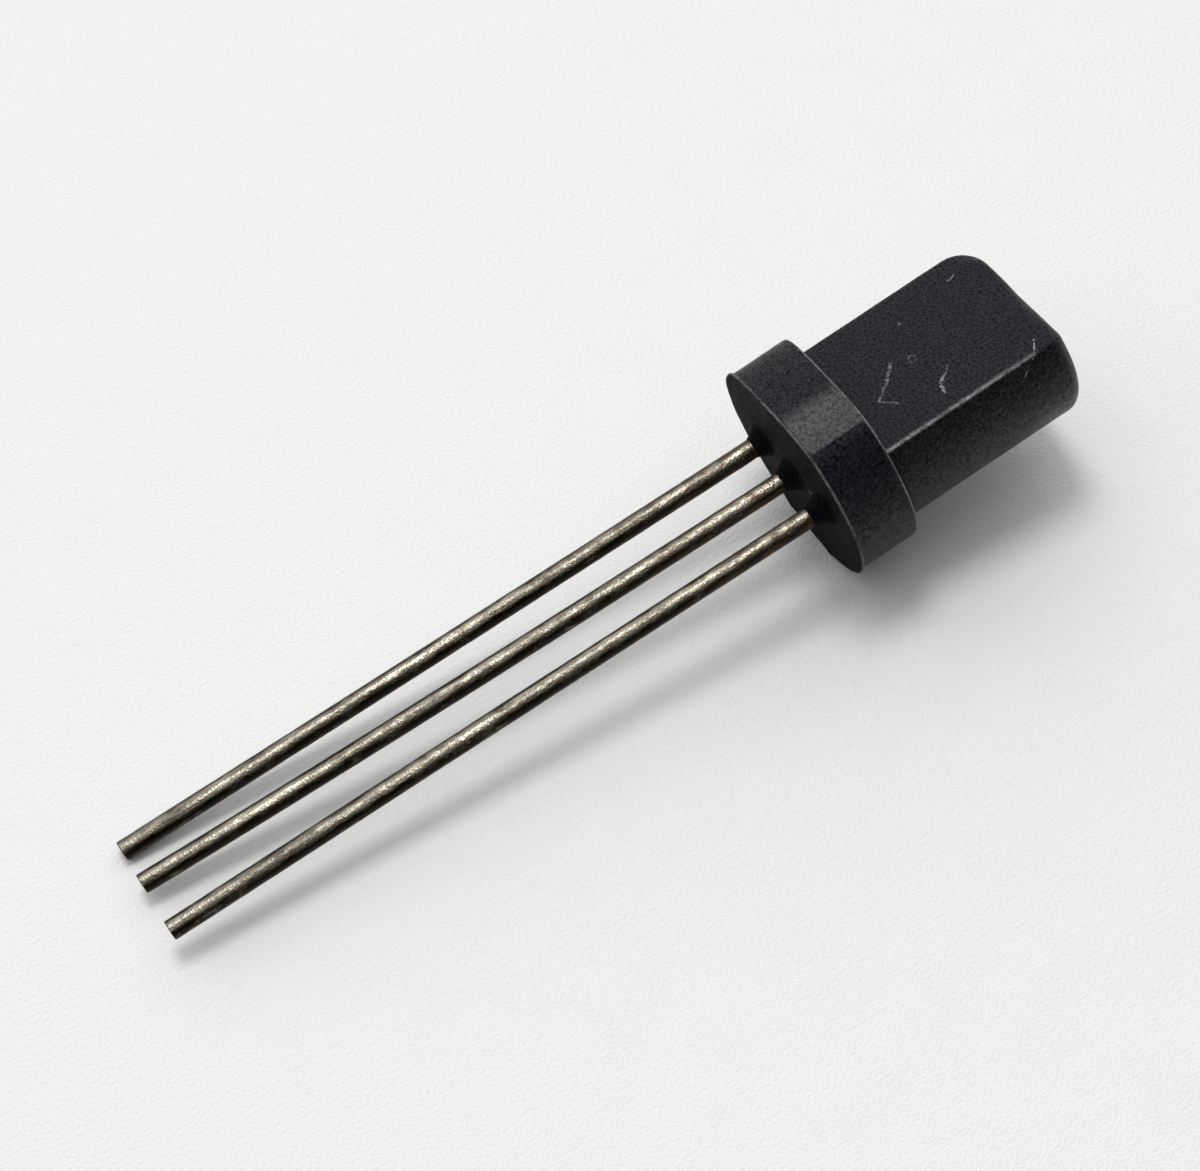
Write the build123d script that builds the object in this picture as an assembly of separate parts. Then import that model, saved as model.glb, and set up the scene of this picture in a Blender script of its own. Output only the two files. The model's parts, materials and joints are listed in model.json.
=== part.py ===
from build123d import *
import math
import os

# A small collared plastic transistor, lying on its side.
# Millimetres. Each piece is drawn in the package frame: +X from the leads toward the head,
# +Z out of the flat, +Y toward the emitter lead, origin where the axis meets the base face.
# place() then lays the whole part down as it rests, on the collar's rim and on one lead tip.

# Collar and head
COLLAR_RADIUS = 2.47
COLLAR_HEIGHT = 1.45
COLLAR_FLAT = 2.06
COLLAR_CORNER = 0.5
COLLAR_EDGE = 0.05
HEAD_RADIUS = 2.12
HEAD_FLAT = 1.0
BODY_HEIGHT = 6.05
HEAD_ROUNDING = 0.35

# Mould flash round the base rim, with two beads of it, one each side of the lowest point
FLASH_WIDTH = 0.07
FLASH_THICKNESS = 0.06
BEAD_RADIUS = 0.16
BEAD_SPREAD = 17.0
BEAD_LIFT = 0.02

# Epoxy crept up each lead
CREEP_RADIUS = 0.44
CREEP_HEIGHT = 0.34
CREEP_TOP = 0.02

# Leads: round wire, in line, with coined ends inside the epoxy
LEAD_RADIUS = 0.225
LEAD_PITCH = 1.27
LEAD_LENGTH = 16.1
LEAD_BEND_RADIUS = 20.0
LEAD_STRAIGHT = 0.7
LEAD_LIFT = 0.34
LEAD_MIDDLE_LIFT = 0.153
LEAD_EMBED = 1.7
EMITTER_MIDDLE_SHIFT = 0.01
EMITTER_TIP_SHIFT = 0.03
COLLECTOR_MIDDLE_SHIFT = 0.04
COLLECTOR_TIP_SHIFT = 0.22
BASE_MIDDLE_SHIFT = 0.0
BASE_TIP_SHIFT = -0.02
COINED_START = 1.45
COINED_THICKNESS = 0.22
POST_WIDTH = 0.7
POST_END = 3.75
NECK_WIDTH = 0.55
PAD_WIDTH = 1.3
PAD_START = 2.3
PAD_END = 4.3
COINED_CORNER = 0.12

# Chip, its solder and its bond wires
DIE_SIDE = 0.6
DIE_THICKNESS = 0.2
SOLDER_SIDE = 0.7
SOLDER_THICKNESS = 0.03
BOND_RADIUS = 0.025
BOND_LOOP = 0.3
BOND_OFFSET = 0.15
BOND_CORNER = 0.12
BALL_RADIUS = 0.055
BALL_HEIGHT = 0.03

# Rest pose
ROLL = 14.0

EMITTER_Y = LEAD_PITCH
BASE_Y = -LEAD_PITCH
PAD_TOP = COINED_THICKNESS / 2
DIE_X = (PAD_START + PAD_END) / 2
DIE_TOP = PAD_TOP + SOLDER_THICKNESS + DIE_THICKNESS
RIM_RADIUS = COLLAR_RADIUS + FLASH_WIDTH
REST_RADIUS = RIM_RADIUS + BEAD_LIFT


def flattened_disc(radius, flat, corner, start, thickness):
    """A disc across the X axis, cut flat on its +Z side, with softened corners."""
    outline = Circle(radius) & Pos(0, flat - 2 * radius, 0) * Rectangle(4 * radius, 4 * radius)
    if corner:
        outline = fillet(outline.vertices(), corner)
    return Pos(start, 0, 0) * (Plane.YZ * extrude(outline, thickness))


def collar():
    disc = flattened_disc(COLLAR_RADIUS, COLLAR_FLAT, COLLAR_CORNER, 0, COLLAR_HEIGHT)
    top_edges = disc.faces().sort_by(Axis.X)[-1].edges()
    return fillet(top_edges, COLLAR_EDGE)


def flash():
    """The thin fin where the mould halves met, round the base rim."""
    width = FLASH_WIDTH
    return flattened_disc(
        COLLAR_RADIUS + width, COLLAR_FLAT + width, COLLAR_CORNER + width, 0, FLASH_THICKNESS
    )


def bead(turn):
    """A bead of flash, turned from the lowest point of the rim. A pair of them stops the collar rolling."""
    across = math.radians(ROLL + turn)
    centre = (REST_RADIUS - BEAD_RADIUS) / math.cos(math.radians(BEAD_SPREAD))
    disc = Plane.YZ * extrude(Circle(BEAD_RADIUS), FLASH_THICKNESS)
    return Pos(0, centre * math.sin(across), -centre * math.cos(across)) * disc


def head():
    """A round post with a rounded end, cut flat on its +Z side."""
    rounded_start = BODY_HEIGHT - HEAD_ROUNDING
    profile = Polyline(
        (rounded_start, HEAD_RADIUS), (COLLAR_HEIGHT, HEAD_RADIUS), (COLLAR_HEIGHT, 0), (BODY_HEIGHT, 0),
        (BODY_HEIGHT, HEAD_RADIUS - HEAD_ROUNDING),
    )
    centre = (rounded_start, HEAD_RADIUS - HEAD_ROUNDING)
    corner = CenterArc(centre, HEAD_ROUNDING, 0, 90)
    round_post = revolve(Plane.XY * make_face(profile + corner), Axis.X, 360)
    cutter = Pos(BODY_HEIGHT, 0, HEAD_FLAT + HEAD_RADIUS) * Box(
        4 * BODY_HEIGHT, 4 * HEAD_RADIUS, 2 * HEAD_RADIUS
    )
    return round_post - cutter


def creep(lead_y):
    """A low cone of epoxy round a lead where it leaves the base face."""
    cone = Cone(CREEP_RADIUS, LEAD_RADIUS + CREEP_TOP, CREEP_HEIGHT, align=(Align.CENTER, Align.CENTER, Align.MIN))
    return Pos(0, lead_y, 0) * Rot(0, -90, 0) * cone


def coined(width, start, end):
    """A stretch of lead coined to a thin blade."""
    blade = Box(end - start, width, COINED_THICKNESS, align=(Align.MIN, Align.CENTER, Align.CENTER))
    ends = blade.edges().filter_by(Axis.Z)
    return Pos(start, 0, 0) * fillet(ends, COINED_CORNER)


def wire(points, bend_radius, radius):
    """A round wire along straight runs joined by tangent bends."""
    path = FilletPolyline(*points, radius=bend_radius)
    section = Plane(origin=path @ 0, z_dir=path % 0) * Circle(radius)
    return sweep(section, path)


def lead_wire(lead_y, middle_shift, tip_shift):
    """The free wire: straight out of the epoxy, then leaning a little toward the flat."""
    half_way = (LEAD_LENGTH + LEAD_STRAIGHT) / 2
    points = [
        (LEAD_EMBED, lead_y, 0),
        (-LEAD_STRAIGHT, lead_y, 0),
        (-half_way, lead_y + middle_shift, LEAD_MIDDLE_LIFT),
        (-LEAD_LENGTH, lead_y + tip_shift, LEAD_LIFT),
    ]
    return wire(points, LEAD_BEND_RADIUS, LEAD_RADIUS)


def outer_lead(lead_y, middle_shift, tip_shift):
    post = Pos(0, lead_y, 0) * coined(POST_WIDTH, COINED_START, POST_END)
    return lead_wire(lead_y, middle_shift, tip_shift) + post


def collector():
    neck = coined(NECK_WIDTH, COINED_START, PAD_START + COINED_CORNER)
    pad = coined(PAD_WIDTH, PAD_START, PAD_END)
    return lead_wire(0, COLLECTOR_MIDDLE_SHIFT, COLLECTOR_TIP_SHIFT) + neck + pad


def chip():
    block = Box(DIE_SIDE, DIE_SIDE, DIE_THICKNESS, align=(Align.CENTER, Align.CENTER, Align.MIN))
    return Pos(DIE_X, 0, PAD_TOP + SOLDER_THICKNESS) * block


def solder():
    layer = Box(SOLDER_SIDE, SOLDER_SIDE, SOLDER_THICKNESS, align=(Align.CENTER, Align.CENTER, Align.MIN))
    return Pos(DIE_X, 0, PAD_TOP) * layer


def bond_wire(post_y):
    """A fine wire looped from a ball bond on the chip to a lead's post."""
    side = math.copysign(1, post_y)
    chip_y = side * BOND_OFFSET
    landing_y = post_y - side * BOND_OFFSET
    points = [
        (DIE_X, chip_y, DIE_TOP),
        (DIE_X, chip_y, DIE_TOP + BOND_LOOP),
        (DIE_X, landing_y, PAD_TOP + BOND_LOOP),
        (DIE_X, landing_y, PAD_TOP),
    ]
    ball = Cylinder(BALL_RADIUS, BALL_HEIGHT, align=(Align.CENTER, Align.CENTER, Align.MIN))
    return wire(points, BOND_CORNER, BOND_RADIUS) + Pos(DIE_X, chip_y, DIE_TOP) * ball


def epoxy(embedded):
    """Collar, head, flash and creep moulded in one shot round the metal."""
    solid = collar() + head() + flash() + bead(-BEAD_SPREAD) + bead(BEAD_SPREAD)
    for lead_y in (EMITTER_Y, 0, BASE_Y):
        solid += creep(lead_y)
    for piece in embedded:
        solid -= piece
    return solid


def place(pieces):
    """Lay the part down: rolled onto the emitter lead's side, on its two beads and that lead's tip."""
    roll = math.radians(ROLL)
    tip_height = -(EMITTER_Y + EMITTER_TIP_SHIFT) * math.sin(roll) + LEAD_LIFT * math.cos(roll)
    tilt = math.degrees(math.atan2(REST_RADIUS + tip_height - LEAD_RADIUS, LEAD_LENGTH))
    turned = {name: Rot(0, -tilt, 0) * Rot(-ROLL, 0, 0) * piece for name, piece in pieces.items()}
    box = Compound([solid for piece in turned.values() for solid in piece.solids()]).bounding_box()
    middle = box.center()
    shift = Pos(-middle.X, -middle.Y, -box.min.Z)
    print(f"tilt {tilt:.3f} deg, shift {tuple(round(v, 4) for v in shift.position)}")
    return {name: shift * piece.solids()[0] for name, piece in turned.items()}


metal = {
    "emitter_lead": outer_lead(EMITTER_Y, EMITTER_MIDDLE_SHIFT, EMITTER_TIP_SHIFT),
    "collector_lead": collector(),
    "base_lead": outer_lead(BASE_Y, BASE_MIDDLE_SHIFT, BASE_TIP_SHIFT),
    "silicon_die": chip(),
    "die_attach": solder(),
    "emitter_bond_wire": bond_wire(EMITTER_Y),
    "base_bond_wire": bond_wire(BASE_Y),
}
parts = place({"epoxy_body": epoxy(metal.values()), **metal})

os.makedirs("parts", exist_ok=True)
for name, shape in parts.items():
    export_step(shape, f"parts/{name}.step")
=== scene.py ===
"""A small collared plastic transistor lying on paper, laid out as a Blender add-on and run as a script."""

import json
import math

import bpy
import numpy as np
from bpy.props import FloatProperty, FloatVectorProperty, IntProperty, PointerProperty
from mathutils import Matrix, Vector, noise


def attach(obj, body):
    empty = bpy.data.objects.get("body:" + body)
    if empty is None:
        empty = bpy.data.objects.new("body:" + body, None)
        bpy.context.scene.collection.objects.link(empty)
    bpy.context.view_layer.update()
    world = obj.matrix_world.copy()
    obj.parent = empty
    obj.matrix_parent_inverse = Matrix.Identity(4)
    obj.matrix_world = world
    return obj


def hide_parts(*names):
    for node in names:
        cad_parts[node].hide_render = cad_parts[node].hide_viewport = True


bl_info = {
    "name": "Collared Transistor",
    "version": (1, 0, 0),
    "blender": (4, 5, 0),
    "location": "3D View > Sidebar > Transistor",
    "description": "Builds a collared plastic transistor with wire leads, around its packed frame",
    "category": "Object",
}

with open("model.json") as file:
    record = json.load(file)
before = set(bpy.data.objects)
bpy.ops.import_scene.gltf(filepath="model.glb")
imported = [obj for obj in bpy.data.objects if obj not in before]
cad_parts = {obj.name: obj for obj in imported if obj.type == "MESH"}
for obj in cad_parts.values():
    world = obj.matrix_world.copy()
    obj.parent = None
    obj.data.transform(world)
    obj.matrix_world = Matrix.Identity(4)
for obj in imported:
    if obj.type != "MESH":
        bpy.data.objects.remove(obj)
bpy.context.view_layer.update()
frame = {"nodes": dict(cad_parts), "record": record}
MM = 0.001
LEAD_NAMES = ("emitter_lead", "collector_lead", "base_lead")


# ---------------------------------------------------------------- helpers

def linear(hex_colour):
    """sRGB hex to the linear RGBA that shaders use."""
    digits = hex_colour.lstrip("#")
    channels = [int(digits[i:i + 2], 16) / 255 for i in (0, 2, 4)]
    flat = [c / 12.92 if c <= 0.04045 else ((c + 0.055) / 1.055) ** 2.4 for c in channels]
    return (*flat, 1.0)


def add_node(tree, kind, inputs=None, links=None, **settings):
    """Add a node with its settings, its input values and the sockets linked into it."""
    node = tree.nodes.new(kind)
    for key, value in settings.items():
        setattr(node, key, value)
    for key, value in (inputs or {}).items():
        node.inputs[key].default_value = value
    for key, socket in (links or {}).items():
        tree.links.new(socket, node.inputs[key])
    return node


def smooth_step(value, low, high):
    t = np.clip((value - low) / (high - low), 0, 1)
    return t * t * (3 - 2 * t)


def smooth_min(a, b, width):
    """The lesser of two values, with the corner between them rounded over a width."""
    h = np.clip(0.5 + 0.5 * (b - a) / width, 0, 1)
    return b * (1 - h) + a * h - width * h * (1 - h)


def rough(points, scale, seed, octaves=3):
    """Fractal noise, about -1 to 1, at points in millimetres."""
    shift = Vector((seed * 7.3, seed * 3.1, seed * 5.7))
    return np.array([noise.fractal(Vector(p) * scale + shift, 1.0, 2.0, octaves) for p in points])


def package_matrix():
    """From the package's own frame, X along its axis and Z out of the flat, to the row's frame."""
    sizes = bpy.context.scene.transistor_sizes
    mount = next(m for m in frame["record"]["mounts"] if m["name"] == "head_flat")
    turn = Matrix.Rotation(-sizes.tilt, 4, "Y") @ Matrix.Rotation(-sizes.roll, 4, "X")
    on_flat = Vector((sizes.flat_point, 0, sizes.head_flat))
    start = Vector(mount["pos_m"]) - turn @ on_flat * MM
    return Matrix.Translation(start) @ turn @ Matrix.Scale(MM, 4)


def ring_mesh(name, rings, material, cap_ends=True, attributes=None):
    """Join closed rings of points, all with the same count, into one skin, with a point at each end."""
    count = len(rings[0])
    points = np.concatenate(rings)
    faces = []
    for k in range(len(rings) - 1):
        a = k * count
        b = a + count
        for i in range(count):
            j = (i + 1) % count
            faces.append((a + i, a + j, b + j, b + i))
    if cap_ends:
        first, last = len(points), len(points) + 1
        points = np.vstack([points, rings[0].mean(0), rings[-1].mean(0)])
        top = (len(rings) - 1) * count
        faces += [(first, (i + 1) % count, i) for i in range(count)]
        faces += [(last, top + i, top + (i + 1) % count) for i in range(count)]
    mesh = bpy.data.meshes.new(name)
    mesh.from_pydata([tuple(p) for p in points], [], faces)
    layer = mesh.attributes.new("package_mm", "FLOAT_VECTOR", "POINT")
    layer.data.foreach_set("vector", points.astype(np.float32).ravel())
    for key, values in (attributes or {}).items():
        values = np.concatenate([values, np.zeros(len(points) - len(values))])
        extra = mesh.attributes.new(key, "FLOAT", "POINT")
        extra.data.foreach_set("value", values.astype(np.float32))
    mesh.transform(package_matrix())
    mesh.polygons.foreach_set("use_smooth", [True] * len(mesh.polygons))
    mesh.materials.append(material)
    mesh.update()
    piece = bpy.data.objects.new(name, mesh)
    bpy.context.scene.collection.objects.link(piece)
    return piece


# ---------------------------------------------------------------- sizes and colours

def length(name, default, description):
    return FloatProperty(name=name, default=default, description=description + ", in millimetres")


class TransistorSizes(bpy.types.PropertyGroup):
    collar_radius: length("Collar radius", 2.47, "Radius of the round collar")
    collar_height: length("Collar height", 1.45, "Thickness of the collar along the axis")
    collar_flat: length("Collar flat", 2.06, "Distance of the collar's flat from the axis")
    head_radius: length("Head radius", 2.12, "Radius of the round side of the head")
    head_flat: length("Head flat", 1.0, "Distance of the head's flat from the axis")
    body_height: length("Body height", 6.05, "Height of collar and head together")
    near_rounding: length("Near rounding", 0.36, "Rounding of the head's end on the base lead's side")
    far_rounding: length("Far rounding", 0.7, "Rounding of the head's end on the emitter lead's side")
    flat_rounding: length("Flat rounding", 0.3, "Rounding of the head's end along the flat")
    flash_width: length("Flash width", 0.07, "How far the mould flash stands out of the collar")
    flash_thickness: length("Flash thickness", 0.06, "Thickness of the mould flash")
    bead_height: length("Bead height", 0.125, "How far each bead of flash stands out of the rim")
    creep_height: length("Creep height", 0.36, "How far the epoxy creeps up each lead")
    lead_radius: length("Lead radius", 0.225, "Radius of the round wire")
    lead_pitch: length("Lead pitch", 1.27, "Spacing of the leads")
    lead_length: length("Lead length", 16.1, "Free length of each lead")
    lead_lift: length("Lead lift", 0.34, "How far the tips lean toward the flat")
    flat_point: length("Flat point", 3.7, "Where along the axis the mount on the flat stands")
    roll: FloatProperty(
        name="Roll", default=math.radians(14), subtype="ANGLE",
        description="Roll of the package onto the emitter lead's side",
    )
    bead_spread: FloatProperty(
        name="Bead spread", default=math.radians(17), subtype="ANGLE",
        description="Angle of each bead of flash from the lowest point of the rim",
    )
    tilt: FloatProperty(
        name="Tilt", default=math.radians(8.3058), subtype="ANGLE",
        description="Rise of the axis from the lead tips to the head",
    )
    around: IntProperty(name="Steps around", default=520, description="Points round each ring of the body")


def colour(name, hex_value, description):
    return FloatVectorProperty(
        name=name, size=4, subtype="COLOR", min=0, max=1, default=linear(hex_value), description=description
    )


class TransistorColours(bpy.types.PropertyGroup):
    epoxy: colour("Epoxy", "#050507", "Moulded epoxy, filled with carbon black")
    epoxy_dust: colour("Epoxy dust", "#0d0e12", "Handled epoxy, greyed by fine scuffing")
    # this grey also pales the painted highlight on the collar's corner
    worn_edge_and_highlight: colour("Worn edge", "#b0aeac", "Filler laid bare where an edge has rubbed")
    tin: colour("Tin", "#a9a292", "Tin plating, dulled")
    # this brown also paints the shade on the wires' lower side
    tarnish_and_shade: colour("Tarnish", "#211c15", "Brown tarnish over the tin")
    copper: colour("Copper", "#5d4538", "Copper showing through near the body")
    gold: colour("Gold", "#e2b25a", "Bond wire")
    silicon: colour("Silicon", "#5a5d66", "Chip")
    solder: colour("Solder", "#a3a4a6", "Solder under the chip")
    paper: colour("Paper", "#f4f4f3", "Paper that the part lies on")


# ---------------------------------------------------------------- materials

def new_material(name):
    """An empty node material with its shader; returns the material, its tree and the shader."""
    material = bpy.data.materials.new(name)
    material.use_nodes = True
    tree = material.node_tree
    shader = tree.nodes["Principled BSDF"]
    return material, tree, shader


def stroke(tree, place, points, half_width):
    """A mask that is 1 along a line of points in the package's millimetres, and 0 away from it."""
    nearest = None
    for start, end in zip(points, points[1:]):
        run = Vector(end) - Vector(start)
        offset = add_node(tree, "ShaderNodeVectorMath", {1: start}, {0: place}, operation="SUBTRACT")
        along = add_node(
            tree, "ShaderNodeVectorMath", {1: run / run.length_squared}, {0: offset.outputs[0]},
            operation="DOT_PRODUCT",
        )
        clamped = add_node(tree, "ShaderNodeClamp", links={0: along.outputs["Value"]})
        reach = add_node(
            tree, "ShaderNodeVectorMath", {0: run}, {3: clamped.outputs[0]}, operation="SCALE"
        )
        away = add_node(
            tree, "ShaderNodeVectorMath", links={0: offset.outputs[0], 1: reach.outputs[0]},
            operation="DISTANCE",
        )
        distance = away.outputs["Value"]
        if nearest is not None:
            both = add_node(tree, "ShaderNodeMath", links={0: nearest, 1: distance}, operation="MINIMUM")
            distance = both.outputs[0]
        nearest = distance
    mask = add_node(
        tree, "ShaderNodeMapRange", {1: half_width, 2: half_width * 0.45, 3: 0.0, 4: 1.0}, {0: nearest},
        clamp=True,
    )
    return mask.outputs[0]


def broken(tree, mask, grain, low, high):
    """A mask broken up by a grain."""
    keep = add_node(tree, "ShaderNodeMapRange", {1: low, 2: high, 3: 0.0, 4: 1.0}, {0: grain}, clamp=True)
    both = add_node(tree, "ShaderNodeMath", links={0: mask, 1: keep.outputs[0]}, operation="MULTIPLY")
    return both.outputs[0]


def moulded_epoxy():
    """Transfer-moulded epoxy with silica filler: near black, fine matt grain, edges and scratches gone grey, and a
    painted highlight on the collar's corner.
    """
    colours = bpy.context.scene.transistor_colours
    material, tree, shader = new_material("moulded_epoxy")
    place = add_node(tree, "ShaderNodeAttribute", attribute_name="package_mm").outputs["Vector"]
    wear = add_node(tree, "ShaderNodeAttribute", attribute_name="edge_wear").outputs["Fac"]
    # the rubbed attribute holds a painted highlight on the collar's corner, not wear
    collar_highlight = add_node(tree, "ShaderNodeAttribute", attribute_name="rubbed").outputs["Fac"]
    # filler grain is 0.02 mm; drawn at 0.06 mm so that it shows
    grain = add_node(tree, "ShaderNodeTexNoise", {"Scale": 16.0, "Detail": 4.0, "Roughness": 0.7}, {"Vector": place})
    smears = add_node(tree, "ShaderNodeTexNoise", {"Scale": 1.1, "Detail": 4.0}, {"Vector": place})
    specks = add_node(tree, "ShaderNodeTexVoronoi", {"Scale": 7.0}, {"Vector": place})

    pale_grain = add_node(
        tree, "ShaderNodeMapRange", {1: 0.45, 2: 0.8, 3: 0.0, 4: 1.5}, {0: grain.outputs["Fac"]}, clamp=True
    )
    smeared = add_node(
        tree, "ShaderNodeMapRange", {1: 0.3, 2: 0.75, 3: 0.0, 4: 0.7}, {0: smears.outputs["Fac"]}, clamp=True
    )
    dusty = add_node(
        tree, "ShaderNodeMath", links={0: smeared.outputs[0], 1: pale_grain.outputs[0]}, operation="ADD"
    )
    body = add_node(
        tree, "ShaderNodeMix", {6: colours.epoxy, 7: colours.epoxy_dust}, {0: dusty.outputs[0]},
        data_type="RGBA", clamp_factor=False,
    )
    marks = broken(tree, wear, grain.outputs["Fac"], 0.25, 0.6)
    marks = broken(tree, marks, smears.outputs["Fac"], 0.3, 0.55)
    flat = bpy.context.scene.transistor_sizes.head_flat
    ring = [(3.31 + 0.1 * math.cos(t), -0.05 + 0.1 * math.sin(t), flat) for t in (0.3, 1.6, 2.9, 4.2, 5.2)]
    strokes = (
        ([(5.10, 1.27, flat), (5.16, 1.24, flat), (5.29, 1.32, flat)], 0.022, 0.8),
        ([(3.66, 1.01, flat), (3.64, 0.95, flat)], 0.03, 0.35),
        (ring, 0.022, 0.35),
        ([(2.89, 0.18, flat), (2.60, -0.16, flat), (2.42, -0.32, flat), (2.16, -0.57, flat)], 0.045, 0.4),
        ([(2.16, -0.57, flat), (2.32, -0.77, flat), (2.41, -0.90, flat)], 0.025, 0.35),
        ([(3.76, -0.79, flat), (3.50, -0.99, flat)], 0.025, 0.4),
        ([(3.50, -0.99, flat), (3.33, -1.17, flat), (3.30, -1.37, flat)], 0.045, 0.75),
        ([(5.65, -1.28, 0.95), (5.40, -1.62, flat), (5.28, -1.80, flat)], 0.018, 0.9),
        ([(5.28, -1.80, flat), (5.10, -1.91, 0.92), (4.78, -2.01, 0.66)], 0.016, 0.7),
    )
    ripple = add_node(tree, "ShaderNodeTexNoise", {"Scale": 6.0, "Detail": 3.0}, {"Vector": place})
    sway = add_node(
        tree, "ShaderNodeVectorMath", {1: (-0.5, -0.5, -0.5)}, {0: ripple.outputs["Color"]}, operation="ADD"
    )
    wavy = add_node(
        tree, "ShaderNodeVectorMath", {1: (0.16, 0.16, 0.0)}, {0: sway.outputs[0], 2: place},
        operation="MULTIPLY_ADD",
    ).outputs[0]
    for points, half_width, amount in strokes:
        line = broken(tree, stroke(tree, wavy, points, half_width), grain.outputs["Fac"], 0.4, 0.56)
        line = add_node(tree, "ShaderNodeMath", {1: amount}, {0: line}, operation="MULTIPLY").outputs[0]
        most = add_node(tree, "ShaderNodeMath", links={0: marks, 1: line}, operation="MAXIMUM")
        marks = most.outputs[0]
    # painted highlight: the collar's corner patch is paled toward the worn-edge grey, standing in for the lamp's
    # reflection there
    rubbed = broken(tree, collar_highlight, grain.outputs["Fac"], 0.2, 0.62)
    collar_highlight_soft = add_node(tree, "ShaderNodeMath", {1: 0.22}, {0: rubbed}, operation="MULTIPLY")
    marks = add_node(tree, "ShaderNodeMath", links={0: marks, 1: collar_highlight_soft.outputs[0]}, operation="MAXIMUM").outputs[0]
    fleck = add_node(
        tree, "ShaderNodeMapRange", {1: 0.05, 2: 0.02, 3: 0.0, 4: 0.3}, {0: specks.outputs["Distance"]},
        clamp=True,
    )
    marks = add_node(
        tree, "ShaderNodeMath", links={0: marks, 1: fleck.outputs[0]}, operation="MAXIMUM"
    ).outputs[0]
    finish = add_node(
        tree, "ShaderNodeMix", {7: colours.worn_edge_and_highlight}, {0: marks, 6: body.outputs[2]}, data_type="RGBA"
    )
    tree.links.new(finish.outputs[2], shader.inputs["Base Color"])
    matt = add_node(
        tree, "ShaderNodeMapRange", {1: 0.3, 2: 0.7, 3: 0.26, 4: 0.36}, {0: smears.outputs["Fac"]}, clamp=True
    )
    # the base face was torn from the runner and is rougher
    along = add_node(tree, "ShaderNodeSeparateXYZ", links={0: place})
    torn = add_node(
        tree, "ShaderNodeMapRange", {1: 0.03, 2: 0.0, 3: 0.0, 4: 0.4}, {0: along.outputs["X"]}, clamp=True
    )
    rougher = add_node(tree, "ShaderNodeMath", links={0: matt.outputs[0], 1: torn.outputs[0]}, operation="ADD")
    tree.links.new(rougher.outputs[0], shader.inputs["Roughness"])
    shader.inputs["IOR"].default_value = 1.55
    sheen = add_node(
        tree, "ShaderNodeMapRange", {1: 0.36, 2: 0.66, 3: 0.01, 4: 0.36}, {0: grain.outputs["Fac"]}, clamp=True
    )
    dulled = add_node(
        tree, "ShaderNodeMapRange", {1: 0.0, 2: 0.03, 3: 0.3, 4: 1.0}, {0: along.outputs["X"]}, clamp=True
    )
    sheen = add_node(
        tree, "ShaderNodeMath", links={0: sheen.outputs[0], 1: dulled.outputs[0]}, operation="MULTIPLY"
    )
    tree.links.new(sheen.outputs[0], shader.inputs["Specular IOR Level"])
    shader.inputs["Specular Tint"].default_value = linear("#e6ebff")
    bump = add_node(
        tree, "ShaderNodeBump", {"Strength": 0.8, "Distance": 0.00004}, {"Height": grain.outputs["Fac"]}
    )
    tree.links.new(bump.outputs[0], shader.inputs["Normal"])
    return material


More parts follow.
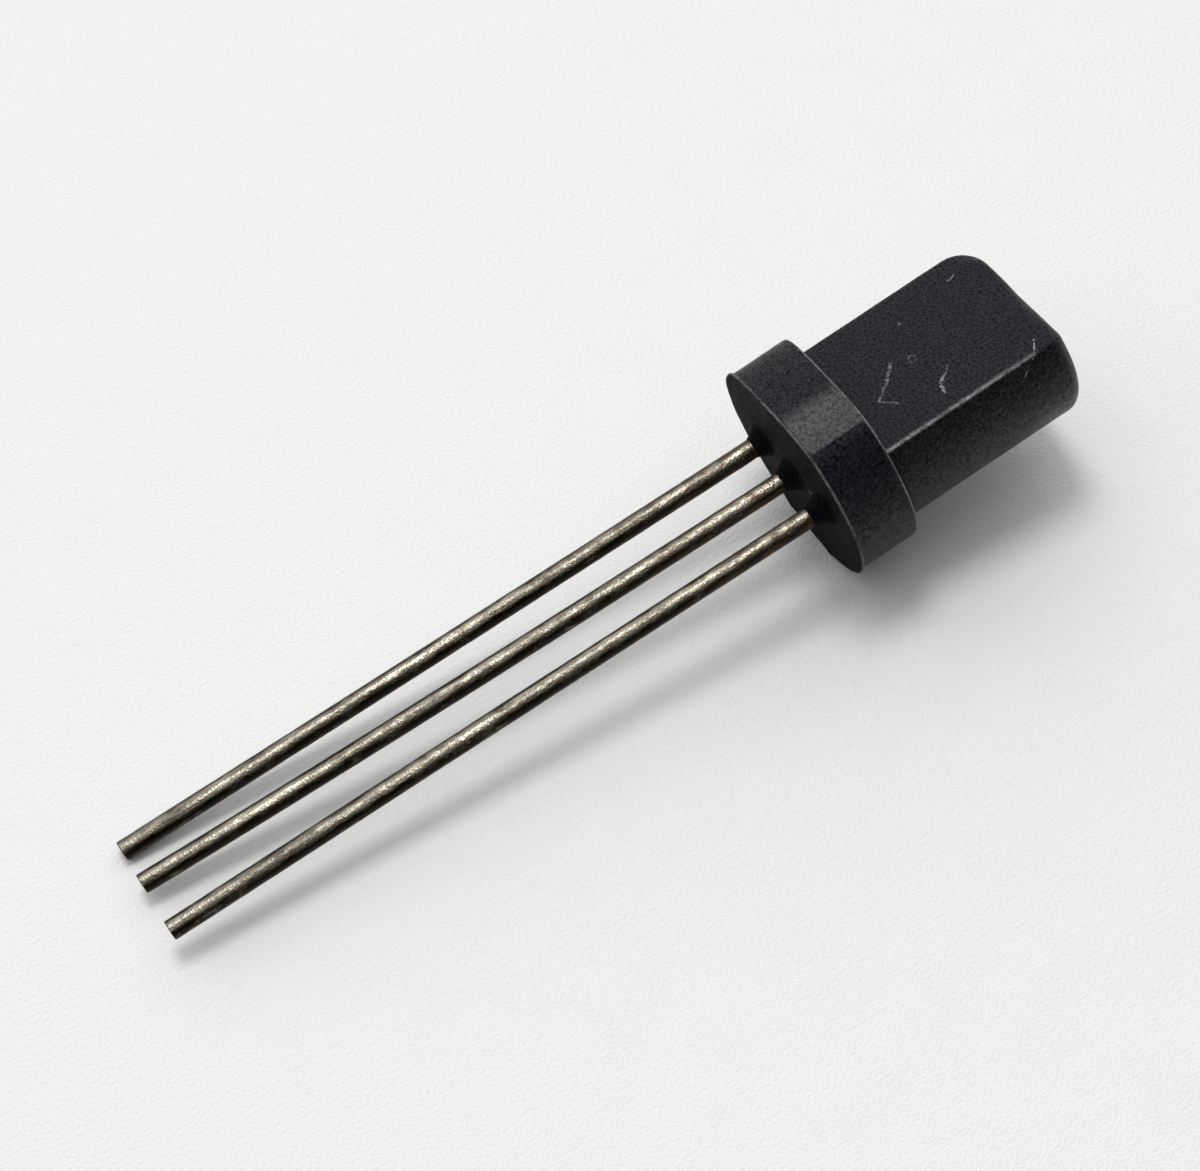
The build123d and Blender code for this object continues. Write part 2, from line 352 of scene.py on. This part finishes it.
def tinned_wire(name, seed):
    """Tinned copper-clad wire, drawn: brown-grey, streaked along its length, with painted shade darkening it all
    round but a band on its upper side.
    """
    colours = bpy.context.scene.transistor_colours
    material, tree, shader = new_material(name)
    place = add_node(tree, "ShaderNodeAttribute", attribute_name="package_mm").outputs["Vector"]
    # draw marks are 0.03 mm wide and some millimetres long
    drawn = add_node(
        tree, "ShaderNodeMapping", {"Location": (seed, seed, 0), "Scale": (0.45, 9.0, 9.0)}, {"Vector": place}
    )
    blotched = add_node(
        tree, "ShaderNodeMapping", {"Location": (seed * 3, 0, seed), "Scale": (2.2, 5.0, 5.0)}, {"Vector": place}
    )
    streaks = add_node(
        tree, "ShaderNodeTexNoise", {"Scale": 1.0, "Detail": 5.0, "Roughness": 0.6},
        {"Vector": drawn.outputs[0]},
    )
    blotches = add_node(
        tree, "ShaderNodeTexNoise", {"Scale": 1.0, "Detail": 6.0, "Roughness": 0.7},
        {"Vector": blotched.outputs[0]},
    )
    pits = add_node(
        tree, "ShaderNodeTexNoise", {"Scale": 20.0, "Detail": 2.0}, {"Vector": place}
    )
    mixed = add_node(
        tree, "ShaderNodeMix", {0: 0.55}, {2: streaks.outputs["Fac"], 3: blotches.outputs["Fac"]},
        data_type="FLOAT",
    )
    amount = add_node(
        tree, "ShaderNodeMapRange", {1: 0.38, 2: 0.64, 3: 0.0, 4: 0.9}, {0: mixed.outputs[0]}, clamp=True
    )
    # painted shade: the wire is darkened toward the brown all round but for a band on its upper side, in place of the
    # shade on its lower side
    underside_shade_node = add_node(tree, "ShaderNodeAttribute", attribute_name="painted_underside_shade")
    amount = add_node(
        tree, "ShaderNodeMath", links={0: underside_shade_node.outputs["Fac"], 1: amount.outputs[0]},
        operation="ADD", use_clamp=True,
    )
    metal = add_node(
        tree, "ShaderNodeMix", {6: colours.tin, 7: colours.tarnish_and_shade}, {0: amount.outputs[0]}, data_type="RGBA"
    )
    along = add_node(tree, "ShaderNodeSeparateXYZ", links={0: place})
    near_body = add_node(
        tree, "ShaderNodeMapRange", {1: -4.0, 2: -0.5, 3: 0.0, 4: 0.75}, {0: along.outputs["X"]}, clamp=True
    )
    coppery = broken(tree, near_body.outputs[0], blotches.outputs["Fac"], 0.42, 0.6)
    finish = add_node(
        tree, "ShaderNodeMix", {7: colours.copper}, {0: coppery, 6: metal.outputs[2]}, data_type="RGBA"
    )
    tree.links.new(finish.outputs[2], shader.inputs["Base Color"])
    shader.inputs["Metallic"].default_value = 1.0
    dull = add_node(
        tree, "ShaderNodeMapRange", {1: 0.0, 2: 1.0, 3: 0.18, 4: 0.38}, {0: amount.outputs[0]}, clamp=True
    )
    tree.links.new(dull.outputs[0], shader.inputs["Roughness"])
    height = add_node(
        tree, "ShaderNodeMix", {0: 0.6}, {2: streaks.outputs["Fac"], 3: pits.outputs["Fac"]}, data_type="FLOAT"
    )
    bump = add_node(
        tree, "ShaderNodeBump", {"Strength": 0.8, "Distance": 0.00003}, {"Height": height.outputs[0]}
    )
    tree.links.new(bump.outputs[0], shader.inputs["Normal"])
    return material


def inner_metal(name, tint, roughness, scale):
    """A small metal or silicon piece sealed in the epoxy: plain, with a faint mottle."""
    material, tree, shader = new_material(name)
    where = add_node(tree, "ShaderNodeTexCoord")
    mottle = add_node(tree, "ShaderNodeTexNoise", {"Scale": scale}, {"Vector": where.outputs["Object"]})
    dark = [c * 0.75 for c in tint[:3]] + [1.0]
    mixed = add_node(
        tree, "ShaderNodeMix", {6: tint, 7: dark}, {0: mottle.outputs["Fac"]}, data_type="RGBA"
    )
    tree.links.new(mixed.outputs[2], shader.inputs["Base Color"])
    shader.inputs["Metallic"].default_value = 1.0
    shader.inputs["Roughness"].default_value = roughness
    return material


def plain_paper():
    """Uncoated paper: off-white, with a fine felt grain that gives small soft shadows."""
    colours = bpy.context.scene.transistor_colours
    material, tree, shader = new_material("plain_paper")
    where = add_node(tree, "ShaderNodeTexCoord")
    # felt grain is about 0.08 mm across
    felt = add_node(
        tree, "ShaderNodeTexNoise", {"Scale": 13000.0, "Detail": 2.0, "Roughness": 0.5},
        {"Vector": where.outputs["Object"]},
    )
    soft = add_node(
        tree, "ShaderNodeTexNoise", {"Scale": 700.0, "Detail": 2.0}, {"Vector": where.outputs["Object"]}
    )
    greyer = [c * 0.97 for c in colours.paper[:3]] + [1.0]
    tone = add_node(
        tree, "ShaderNodeMix", {6: colours.paper, 7: greyer}, {0: soft.outputs["Fac"]}, data_type="RGBA"
    )
    tree.links.new(tone.outputs[2], shader.inputs["Base Color"])
    shader.inputs["Roughness"].default_value = 0.62
    bump = add_node(
        tree, "ShaderNodeBump", {"Strength": 0.6, "Distance": 0.00004}, {"Height": felt.outputs["Fac"]}
    )
    tree.links.new(bump.outputs[0], shader.inputs["Normal"])
    return material


# ---------------------------------------------------------------- body

def cut_outline(radius, flat, angles, softness):
    """Distance from the axis to a round outline cut flat on one side, with a softened corner."""
    upward = np.maximum(np.sin(angles), 1e-3)
    return smooth_min(radius * np.ones_like(angles), flat / upward, softness)


def base_relief(y, z, sizes):
    """Height of the epoxy over the base face: creep up the leads, hollows beside them and a ridge."""
    height = np.zeros_like(y)
    for k, lead_y in enumerate((sizes.lead_pitch, 0, -sizes.lead_pitch)):
        away = np.hypot(y - lead_y, z)
        reach = 0.46 + 0.05 * np.sin(3 * np.arctan2(z, y - lead_y) + k)
        climb = np.clip((reach - away) / (reach - sizes.lead_radius), 0, 1)
        height = np.maximum(height, sizes.creep_height * (0.85 + 0.15 * k) * climb ** 2.1)
    hollows = ((0.75, 0.42, 0.22, 0.09), (-0.45, 0.38, 0.20, 0.08), (-0.72, -0.25, 0.18, 0.07))
    for centre_y, centre_z, width, depth in hollows:
        height -= depth * np.exp(-((y - centre_y) ** 2 + (z - centre_z) ** 2) / width ** 2)
    ridge = np.abs(0.8 * (y + 0.62) + 0.6 * (z - 0.5))
    height += 0.09 * np.exp(-(ridge / 0.07) ** 2) * smooth_step(z, -0.1, 0.3) * smooth_step(1.6 - z, 0, 0.5)
    return height


class TRANSISTOR_OT_body(bpy.types.Operator):
    """Mould the collar and head as one skin, with flash, crept epoxy and worn edges"""
    bl_idname = "transistor.body"
    bl_label = "Epoxy body"

    def execute(self, context):
        s = context.scene.transistor_sizes
        angles = np.linspace(0, 2 * math.pi, s.around, endpoint=False)
        rings = []
        wear = []

        def ring(x, radius, edge=0.0):
            x = np.broadcast_to(x, angles.shape)
            rings.append(np.stack([x, radius * np.cos(angles), radius * np.sin(angles)], 1))
            wear.append(np.broadcast_to(edge, angles.shape).astype(float))

        around = np.stack([np.cos(angles), np.sin(angles), 0 * angles], 1)
        uneven = rough(around, 6.0, 1) * 0.5 + 0.5
        collar = cut_outline(s.collar_radius, s.collar_flat, angles, 0.5)
        lowest = np.radians(270) + s.roll
        near_floor = np.exp(-((angles - lowest) / 0.5) ** 2)
        ragged = np.clip(0.35 + 0.65 * uneven + near_floor, 0.3, 1.0)
        ragged = np.maximum(ragged, 0.98 * np.exp(-((angles - math.radians(25)) / 0.35) ** 2))
        fin = collar + s.flash_width * ragged
        for turn in (lowest - s.bead_spread, lowest + s.bead_spread):
            fin += s.bead_height * np.exp(-((angles - turn) / 0.05) ** 2)

        # base face, from the middle out
        for t in np.linspace(0.02, 1, 64):
            radius = fin * t
            y = radius * np.cos(angles)
            z = radius * np.sin(angles)
            relief = base_relief(y, z, s) * smooth_step(1.0 - t, 0.0, 0.12)
            grain = rough(np.stack([y, z, 0 * y], 1), 2.2, 2) * 0.02 * smooth_step(1.0 - t, 0.0, 0.06)
            ring(-relief - np.abs(grain), radius, 0.4 * smooth_step(t, 0.985, 1.0))
        ring(0.5 * s.flash_thickness, fin, 0.35)
        ring(s.flash_thickness, fin - 0.01, 0.2)
        ring(s.flash_thickness, collar, 0.0)

        # collar side and its top edge
        side_start = s.flash_thickness + 0.04
        edge_round = 0.06
        for x in np.linspace(side_start, s.collar_height - edge_round, 18):
            ring(x, collar - 0.004 * np.sin(9 * angles + 3 * x), 0.0)
        for turn in np.linspace(0, math.pi / 2, 6)[1:]:
            x = s.collar_height - edge_round * (1 - math.sin(turn))
            ring(x, collar - edge_round * (1 - math.cos(turn)), 0.7 * math.sin(2 * turn))

        # ledge and foot of the head
        head = cut_outline(s.head_radius, s.head_flat, angles, 0.10)
        foot = 0.05
        for t in np.linspace(0, 1, 8)[1:]:
            ring(s.collar_height, (collar - edge_round) * (1 - t) + (head + foot) * t)
        for turn in np.linspace(0, math.pi / 2, 4)[1:]:
            ring(s.collar_height + foot * (1 - math.cos(turn)), head + foot * (1 - math.sin(turn)))

        # head side
        corner = np.exp(-(np.abs(np.sin(angles) - s.head_flat / s.head_radius) / 0.011) ** 2)
        corner = corner * (np.cos(angles) < 0)
        far_side = smooth_step(np.cos(angles), -0.2, 0.8)
        round_side = s.near_rounding * (1 - far_side) + s.far_rounding * far_side
        near_corner = np.exp(-((angles - math.radians(152)) / 0.3) ** 2)
        round_side = round_side + 0.08 * near_corner
        on_flat = smooth_step(np.sin(angles), s.head_flat / s.head_radius + 0.02, 0.62)
        flat_rounding = s.flat_rounding * (1 - 0.4 * far_side)
        rounding = round_side * (1 - on_flat) + flat_rounding * on_flat
        end = s.body_height - 0.03
        for t in np.linspace(0, 1, 44):
            x = (s.collar_height + foot) * (1 - t) + (end - rounding) * t
            ring(x, head, corner * smooth_step(5.35 - x, 0.0, 0.2))

        # rounded end
        for turn in np.linspace(0, math.pi / 2, 16)[1:]:
            shrink = 1 - math.cos(turn)
            radius = s.head_radius - round_side * shrink
            flat = s.head_flat - flat_rounding * shrink
            upward = np.maximum(np.sin(angles), 1e-3)
            outline = smooth_min(radius, flat / upward, 0.10)
            ring(end - rounding * (1 - math.sin(turn)), outline)
        last = rings[-1]
        rim = np.hypot(last[:, 1], last[:, 2])
        for t in np.linspace(1, 0.03, 26)[1:]:
            ring(end + 0.03 * (1 - t * t), rim * t)

        points = np.concatenate(rings)
        outward = points * np.array([0, 1, 1])
        outward /= np.maximum(np.linalg.norm(outward, axis=1, keepdims=True), 0.2)
        inside = smooth_step(points[:, 0], 0.1, 0.3)[:, None]
        points -= outward * inside * (np.abs(rough(points, 1.4, 3)) * 0.008)[:, None]
        count = len(angles)
        rings = [points[k:k + count] for k in range(0, len(points), count)]
        x, y, z = points.T
        turn = np.arctan2(z, y)
        # painted highlight: the rubbed patch marks the collar's flattened corner, where the key lamp's reflection
        # falls, to be paled in the epoxy's colour
        collar_highlight_patch = smooth_step(turn, math.radians(96), math.radians(112)) * (turn < math.radians(130))
        collar_highlight_patch = collar_highlight_patch * smooth_step(x, 0.0, 0.1) * smooth_step(s.collar_height + 0.05 - x, 0, 0.1)
        attributes = {"edge_wear": np.concatenate(wear), "rubbed": collar_highlight_patch}
        piece = ring_mesh("epoxy_body_moulding", rings, moulded_epoxy(), attributes=attributes)
        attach(piece, "root")
        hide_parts("epoxy_body")
        return {"FINISHED"}


# ---------------------------------------------------------------- leads

class TRANSISTOR_OT_leads(bpy.types.Operator):
    """Draw the three wire leads: sheared tips, a slight lean and bow, and coined ends in the epoxy"""
    bl_idname = "transistor.leads"
    bl_label = "Wire leads"

    def execute(self, context):
        s = context.scene.transistor_sizes
        tip_shifts = (0.03, 0.22, -0.02)
        angles = np.linspace(0, 2 * math.pi, 40, endpoint=False)
        for k, name in enumerate(LEAD_NAMES):
            middle = k == 1
            lead_y = s.lead_pitch * (1 - k)
            inner_end = 4.3 if middle else 3.75
            tip = [-s.lead_length + d for d in (0.012, 0.018, 0.032)]
            stations = np.concatenate([tip, np.linspace(-s.lead_length + 0.05, inner_end, 380)])
            rings = []
            # painted shade: all round each wire but a band on its upper side is marked for darkening toward the
            # brown, in place of the shade below it
            unshaded_band = smooth_step(angles, math.radians(60), math.radians(95))
            unshaded_band = unshaded_band * (1 - smooth_step(angles, math.radians(132), math.radians(165)))
            painted_underside_shade = 0.75 * (1 - unshaded_band)
            for i, x in enumerate(stations):
                lean = max(0.0, (-0.7 - x) / (s.lead_length - 0.7))
                centre_y = lead_y + tip_shifts[k] * lean ** 2.3
                centre_z = s.lead_lift * (0.9 * lean + 0.1 * lean * lean)
                coin = smooth_step(x, 1.35, 1.65)
                wide = 0.275 if middle else 0.35
                if middle:
                    wide += (0.65 - 0.275) * smooth_step(x, 2.2, 2.4)
                half_y = s.lead_radius * (1 - coin) + wide * coin
                half_z = s.lead_radius * (1 - coin) + 0.11 * coin
                square = 1 - 0.72 * coin
                trim = (0.018, 0.006, 0.0)[i] if i < 3 else 0.0
                c, q = np.cos(angles), np.sin(angles)
                y = np.sign(c) * np.abs(c) ** square * (half_y - trim)
                z = np.sign(q) * np.abs(q) ** square * (half_z - trim)
                ring = np.stack([np.full_like(y, x), y, z], 1)
                dents = rough(ring * (0.6, 1, 1) + (0, k * 5, 0), 3.0, 4 + k) * 0.006 * (1 - coin)
                ring[:, 1:] *= (1 - np.abs(dents) / s.lead_radius)[:, None]
                ring[:, 1] += centre_y
                ring[:, 2] += centre_z
                rings.append(ring)
            piece = ring_mesh(
                name + "_wire", rings, tinned_wire("tinned_copper_clad_wire_%d" % (k + 1), k + 1),
                attributes={"painted_underside_shade": np.tile(painted_underside_shade, len(rings))},
            )
            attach(piece, "root")
            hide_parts(name)
        return {"FINISHED"}


# ---------------------------------------------------------------- sealed pieces

class TRANSISTOR_OT_chip(bpy.types.Operator):
    """Give the chip, its solder and its bond wires their finishes"""
    bl_idname = "transistor.chip"
    bl_label = "Chip and bond wires"

    def execute(self, context):
        colours = context.scene.transistor_colours
        finishes = {
            "silicon_die": inner_metal("sawn_silicon", colours.silicon, 0.18, 9000.0),
            "die_attach": inner_metal("soft_solder", colours.solder, 0.40, 6000.0),
            "emitter_bond_wire": inner_metal("drawn_gold", colours.gold, 0.22, 9000.0),
        }
        finishes["base_bond_wire"] = finishes["emitter_bond_wire"]
        for node, material in finishes.items():
            for piece in frame["nodes"][node] if isinstance(frame["nodes"][node], list) else [frame["nodes"][node]]:
                piece.data.materials.clear()
                piece.data.materials.append(material)
        return {"FINISHED"}


# ---------------------------------------------------------------- stage

class TRANSISTOR_OT_stage(bpy.types.Operator):
    """Lay the paper, hang the lamps and set the camera"""
    bl_idname = "transistor.stage"
    bl_label = "Stage"

    def execute(self, context):
        scene = context.scene
        reach = 0.6
        corners = [(-reach, -reach, 0), (reach, -reach, 0), (reach, reach, 0), (-reach, reach, 0)]
        mesh = bpy.data.meshes.new("paper")
        mesh.from_pydata(corners, [], [(0, 1, 2, 3)])
        mesh.materials.append(plain_paper())
        paper = bpy.data.objects.new("paper", mesh)
        scene.collection.objects.link(paper)

        def lamp(name, place, size, power):
            data = bpy.data.lights.new(name, "AREA")
            data.shape = "DISK"
            data.size = size
            data.energy = power
            light = bpy.data.objects.new(name, data)
            light.location = place
            light.rotation_euler = (-Vector(place)).to_track_quat("-Z", "Y").to_euler()
            scene.collection.objects.link(light)

        lamp("key_lamp", (0.003, 0.045, 0.21), 0.07, 0.14)

        # brightest high up beyond the part, dark low down on the near side
        world = bpy.data.worlds.new("studio")
        world.use_nodes = True
        tree = world.node_tree
        where = add_node(tree, "ShaderNodeTexCoord")
        toward = add_node(
            tree, "ShaderNodeVectorMath", {1: (0, 0.60, 0.80)}, {0: where.outputs["Generated"]},
            operation="DOT_PRODUCT",
        )
        glow = add_node(
            tree, "ShaderNodeMapRange", {1: 0.0, 2: 1.0, 3: 0.02, 4: 1.24}, {0: toward.outputs["Value"]},
            clamp=True,
        )
        sky = tree.nodes["Background"]
        sky.inputs["Color"].default_value = linear("#ffffff")
        tree.links.new(glow.outputs[0], sky.inputs["Strength"])
        scene.world = world

        aim = Vector((0.000733, 0.001383, 0.0))
        elevation = math.radians(57.81)
        heading = math.radians(64.0)
        forward = Vector((
            math.cos(elevation) * math.cos(heading), math.cos(elevation) * math.sin(heading),
            -math.sin(elevation),
        ))
        data = bpy.data.cameras.new("camera")
        data.sensor_width = 36
        data.lens = 105
        data.clip_start = 0.001
        camera = bpy.data.objects.new("camera", data)
        camera.location = aim - forward * 0.07574
        level = forward.to_track_quat("-Z", "Y").to_matrix()
        lean = Matrix.Rotation(math.radians(-7.06), 3, "Z")
        camera.rotation_euler = (level @ lean).to_euler()
        scene.collection.objects.link(camera)
        scene.camera = camera
        scene.view_settings.view_transform = "Standard"
        return {"FINISHED"}


class TRANSISTOR_PT_panel(bpy.types.Panel):
    """Sizes, colours and the build steps"""
    bl_idname = "TRANSISTOR_PT_panel"
    bl_label = "Transistor"
    bl_space_type = "VIEW_3D"
    bl_region_type = "UI"
    bl_category = "Transistor"

    def draw(self, context):
        for group in (context.scene.transistor_sizes, context.scene.transistor_colours):
            for key in group.__annotations__:
                self.layout.prop(group, key)
        for operator in OPERATORS:
            self.layout.operator(operator.bl_idname)


OPERATORS = (TRANSISTOR_OT_body, TRANSISTOR_OT_leads, TRANSISTOR_OT_chip, TRANSISTOR_OT_stage)
CLASSES = (TransistorSizes, TransistorColours, *OPERATORS, TRANSISTOR_PT_panel)


def register():
    for cls in CLASSES:
        bpy.utils.register_class(cls)
    bpy.types.Scene.transistor_sizes = PointerProperty(type=TransistorSizes)
    bpy.types.Scene.transistor_colours = PointerProperty(type=TransistorColours)


def unregister():
    del bpy.types.Scene.transistor_colours
    del bpy.types.Scene.transistor_sizes
    for cls in reversed(CLASSES):
        bpy.utils.unregister_class(cls)


def main():
    register()
    bpy.ops.transistor.body()
    bpy.ops.transistor.leads()
    bpy.ops.transistor.chip()
    bpy.ops.transistor.stage()


if __name__ == "__main__":
    main()
